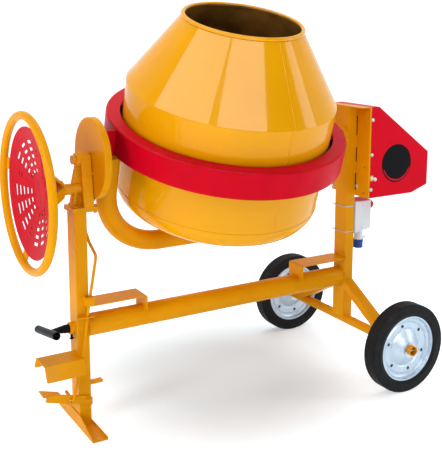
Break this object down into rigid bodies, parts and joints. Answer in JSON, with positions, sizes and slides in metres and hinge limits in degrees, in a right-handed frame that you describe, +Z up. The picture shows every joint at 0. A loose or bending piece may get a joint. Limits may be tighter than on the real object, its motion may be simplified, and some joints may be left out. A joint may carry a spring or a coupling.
{
  "type": "concrete mixer",
  "caption": "Tilting-drum concrete mixer: open conical drum in a fork, gear ring guard, tilting handwheel, foot pedal, electric drive, two wheels, foot and drawbar.",
  "frame": {"origin": "centre of the foot's sole, on the ground under the foot post", "axes": "+X along the main tube towards the axle post, -Y the side that the drum leans to at rest, +Z up"},
  "size_m": [1.903, 0.9913, 1.6601],
  "materials": {
    "yellow_paint": "gloss",
    "yellow_casting": "gloss over cast texture",
    "drum_paint": "gloss",
    "red_paint": "satin",
    "red_plastic": "gloss",
    "galvanised_steel": "galvanised",
    "zinc_steel": "zinc plated",
    "tyre_rubber": "matt",
    "cast_iron": "rough",
    "gear_steel": "turned, oiled",
    "aluminium_cast": "cast",
    "belt_rubber": "matt",
    "motor_paint": "satin",
    "white_plastic": "satin",
    "red_button": "gloss",
    "green_button": "gloss",
    "blue_plastic": "satin",
    "black_paint": "satin"
  },
  "bodies": {
    "frame": {"foot_channel": "yellow_paint", "foot_post": "yellow_paint", "main_tube": "yellow_paint", "axle_post": "yellow_paint", "foot_end_stack_bracket": "yellow_paint", "axle_end_stack_bracket": "yellow_paint", "axle_tube": "yellow_paint", "near_leg": "yellow_paint", "far_leg": "yellow_paint", "toe_lug": "yellow_paint", "pedal_guard": "yellow_paint", "rod_guides": "yellow_paint", "wheel_retainers": "zinc_steel", "tilt_bracket": "yellow_casting", "frame_bolts": "yellow_paint", "gear_cover": "yellow_paint", "trunnion_flange": "yellow_casting", "drive_belt": "belt_rubber", "motor": "motor_paint", "motor_mount": "yellow_paint", "chassis_plate": "yellow_paint", "motor_cover": "red_paint", "cover_bolts": "zinc_steel", "switch_box": "white_plastic", "inlet_neck": "white_plastic", "inlet_socket": "blue_plastic", "wire_ties": "zinc_steel"},
    "tilting_frame": {"yoke_tube": "yellow_paint", "left_trunnion": "yellow_casting", "right_trunnion": "gear_steel", "guard_front": "red_plastic", "guard_rear": "red_plastic", "guard_brackets": "red_paint", "drum_spindle": "gear_steel", "tilt_ring_gear": "cast_iron"},
    "drum": {"drum_shell": "drum_paint", "mouth_ring": "drum_paint", "drum_bottom": "drum_paint", "drum_hub": "cast_iron", "mixing_blades": "drum_paint", "crown_gear": "cast_iron"},
    "handwheel": {"handwheel_ring": "yellow_paint", "handwheel_spokes": "yellow_paint", "handwheel_disc": "red_plastic", "pinion_shaft": "gear_steel", "tilt_pinion": "gear_steel"},
    "drive_shaft": {"drive_shaft": "gear_steel", "drive_pinion": "gear_steel", "driven_pulley": "aluminium_cast"},
    "motor_rotor": {"motor_pulley": "gear_steel"},
    "near_wheel": {"near_tyre": "tyre_rubber", "near_rim": "galvanised_steel"},
    "far_wheel": {"far_tyre": "tyre_rubber", "far_rim": "galvanised_steel"},
    "pedal": {"pedal": "yellow_paint"},
    "brake_rod": {"brake_rod": "yellow_paint"},
    "drawbar": {"drawbar": "black_paint"},
    "drawbar_screw": {"drawbar_screw": "black_paint"},
    "stop_button": {"stop_button": "red_button"},
    "start_button": {"start_button": "green_button"}
  },
  "joints": [
    {"name": "tilt", "type": "hinge", "parent": "frame", "child": "tilting_frame", "pos_m": [0, 0, 1.065], "axis": [1, 0, 0], "range_deg": [-60, 100]},
    {"name": "drum_spin", "type": "hinge", "parent": "tilting_frame", "child": "drum", "pos_m": [0.652, 0, 1.065], "axis": [0, -0.2857, 0.9583], "continuous": true},
    {"name": "handwheel_turn", "type": "hinge", "parent": "frame", "child": "handwheel", "pos_m": [0, 0, 0.953], "axis": [1, 0, 0], "range_deg": [-305, 505]},
    {"name": "drive_shaft_spin", "type": "hinge", "parent": "tilting_frame", "child": "drive_shaft", "pos_m": [1.3, 0, 1.065], "axis": [1, 0, 0], "continuous": true},
    {"name": "motor_spin", "type": "hinge", "parent": "frame", "child": "motor_rotor", "pos_m": [1.405, 0, 0.884], "axis": [1, 0, 0], "continuous": true},
    {"name": "near_wheel_spin", "type": "hinge", "parent": "frame", "child": "near_wheel", "pos_m": [1.312, -0.42, 0.194], "axis": [0, 1, 0], "continuous": true},
    {"name": "far_wheel_spin", "type": "hinge", "parent": "frame", "child": "far_wheel", "pos_m": [1.312, 0.42, 0.194], "axis": [0, 1, 0], "continuous": true},
    {"name": "pedal_press", "type": "hinge", "parent": "frame", "child": "pedal", "pos_m": [0.0075, -0.044, 0.109], "axis": [0, -1, 0], "range_deg": [0, 10], "stiffness_Nm_per_rad": 8, "springref_deg": -25.78},
    {"name": "brake_rod_slide", "type": "slide", "parent": "frame", "child": "brake_rod", "axis": [0, 0, -1], "range_m": [0, 0.0113]},
    {"name": "drawbar_slide", "type": "slide", "parent": "frame", "child": "drawbar", "axis": [-1, 0, 0], "range_m": [0, 0.25]},
    {"name": "drawbar_screw_turn", "type": "hinge", "parent": "frame", "child": "drawbar_screw", "pos_m": [-0.035, 0, 0.36], "axis": [0, 0, 1], "range_deg": [0, 360]},
    {"name": "stop_press", "type": "slide", "parent": "frame", "child": "stop_button", "axis": [-1, 0, 0], "range_m": [0, 0.005], "stiffness_N_per_m": 600, "springref_m": -0.006},
    {"name": "start_press", "type": "slide", "parent": "frame", "child": "start_button", "axis": [-1, 0, 0], "range_m": [0, 0.004], "stiffness_N_per_m": 400, "springref_m": -0.005}
  ],
  "couplings": [
    {"joint": "handwheel_turn", "follows": "tilt", "ratio": 5},
    {"joint": "drive_shaft_spin", "follows": "drum_spin", "ratio": -11},
    {"joint": "motor_spin", "follows": "drum_spin", "ratio": -55},
    {"joint": "brake_rod_slide", "follows": "pedal_press", "m_per_rad": 0.0635}
  ]
}
